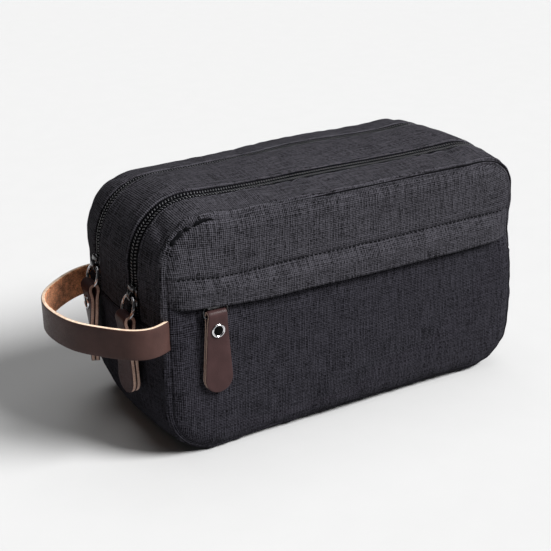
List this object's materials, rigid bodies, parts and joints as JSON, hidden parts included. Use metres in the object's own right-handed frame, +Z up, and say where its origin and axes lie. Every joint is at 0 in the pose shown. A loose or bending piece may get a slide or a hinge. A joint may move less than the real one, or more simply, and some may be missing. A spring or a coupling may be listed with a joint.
{
  "type": "toiletry bag",
  "caption": "Soft zip shaving kit bag with two compartments, a flapped front pocket, leather pulls and a leather carrying loop on one end.",
  "frame": {"origin": "centre of the flat base, between the four seams, on the surface the bag stands on", "axes": "+X along the bag away from the carrying loop, -Y out of the pocket side, +Z up"},
  "size_m": [0.3139, 0.1276, 0.159],
  "materials": {
    "canvas": "heathered charcoal plain weave",
    "lining": "smooth black polyester",
    "foam": "grey padding",
    "zip_tape": "black woven tape",
    "zip_coil": "black nylon coil, slight gloss",
    "slider_metal": "black enamel, worn bright on the edges",
    "ring_metal": "gunmetal",
    "leather": "smooth dark brown, raw tan edges",
    "rivet_metal": "polished, dark centre"
  },
  "bodies": {
    "bag": {"base_band": "canvas", "base_lining": "lining", "centre_gusset": "canvas", "centre_gusset_lining": "lining", "divider": "lining", "front_binding": "lining", "front_foam": "foam", "front_gusset_end_linings": "lining", "front_gusset_ends": "canvas", "front_lining": "lining", "front_zip_end_coils": "zip_coil", "front_zip_end_tapes": "zip_tape", "front_zip_inner_coil": "zip_coil", "front_zip_inner_tape": "zip_tape", "front_zip_stops": "slider_metal", "handle_tabs": "leather", "pocket_backing": "lining", "pocket_flap": "canvas", "pocket_panel": "canvas", "pocket_zip_coils": "zip_coil", "pocket_zip_stops": "slider_metal", "pocket_zip_tapes": "zip_tape", "rear_binding": "lining", "rear_foam": "foam", "rear_gusset_end_linings": "lining", "rear_gusset_ends": "canvas", "rear_lining": "lining", "rear_panel": "canvas", "rear_zip_end_coils": "zip_coil", "rear_zip_end_tapes": "zip_tape", "rear_zip_inner_coil": "zip_coil", "rear_zip_inner_tape": "zip_tape", "rear_zip_stops": "slider_metal"},
    "front_lid": {"front_top_panel": "canvas", "front_top_foam": "foam", "front_top_lining": "lining", "front_gusset_top": "canvas", "front_gusset_lining": "lining", "front_zip_outer_tape": "zip_tape", "front_zip_outer_coil": "zip_coil"},
    "rear_lid": {"rear_top_panel": "canvas", "rear_top_foam": "foam", "rear_top_lining": "lining", "rear_gusset_top": "canvas", "rear_gusset_lining": "lining", "rear_zip_outer_tape": "zip_tape", "rear_zip_outer_coil": "zip_coil"},
    "front_slider": {"front_slider": "slider_metal"},
    "front_ring": {"front_ring": "ring_metal"},
    "front_pull": {"front_pull": "leather", "front_rivet": "rivet_metal"},
    "rear_slider": {"rear_slider": "slider_metal"},
    "rear_ring": {"rear_ring": "ring_metal"},
    "rear_pull": {"rear_pull": "leather", "rear_rivet": "rivet_metal"},
    "pocket_slider": {"pocket_slider": "slider_metal"},
    "pocket_pull": {"pocket_pull": "leather", "pocket_rivet": "rivet_metal"},
    "handle": {"handle_strap": "leather"}
  },
  "joints": [
    {"name": "front_lid_open", "type": "hinge", "parent": "bag", "child": "front_lid", "pos_m": [0, -0.0615, 0.119], "axis": [1, 0, 0], "range_deg": [0, 50]},
    {"name": "rear_lid_open", "type": "hinge", "parent": "bag", "child": "rear_lid", "pos_m": [0, 0.0615, 0.119], "axis": [-1, 0, 0], "range_deg": [0, 50]},
    {"name": "handle_swing", "type": "hinge", "parent": "bag", "child": "handle", "pos_m": [-0.141, 0, 0.0855], "axis": [0, 1, 0], "range_deg": [-45, 65], "stiffness_Nm_per_rad": 0.3},
    {"name": "front_zip_slide", "type": "slide", "parent": "bag", "child": "front_slider", "axis": [0, 0, 1], "range_m": [0, 0.009]},
    {"name": "front_ring_swing", "type": "hinge", "parent": "front_slider", "child": "front_ring", "pos_m": [-0.13841, -0.028, 0.1025], "axis": [0, 1, 0], "range_deg": [0, 25]},
    {"name": "front_pull_swing", "type": "hinge", "parent": "front_ring", "child": "front_pull", "pos_m": [-0.14291, -0.028, 0.0889], "axis": [0, 1, 0], "range_deg": [0, 50]},
    {"name": "rear_zip_slide", "type": "slide", "parent": "bag", "child": "rear_slider", "axis": [0, 0, 1], "range_m": [0, 0.009]},
    {"name": "rear_ring_swing", "type": "hinge", "parent": "rear_slider", "child": "rear_ring", "pos_m": [-0.13841, 0.028, 0.1025], "axis": [0, 1, 0], "range_deg": [0, 25]},
    {"name": "rear_pull_swing", "type": "hinge", "parent": "rear_ring", "child": "rear_pull", "pos_m": [-0.14291, 0.028, 0.0889], "axis": [0, 1, 0], "range_deg": [0, 50]},
    {"name": "pocket_zip_slide", "type": "slide", "parent": "bag", "child": "pocket_slider", "axis": [1, 0, 0], "range_m": [0, 0.195]},
    {"name": "pocket_pull_swing", "type": "hinge", "parent": "pocket_slider", "child": "pocket_pull", "pos_m": [-0.1, -0.0635, 0.0939], "axis": [-1, 0, 0], "range_deg": [0, 80]}
  ]
}
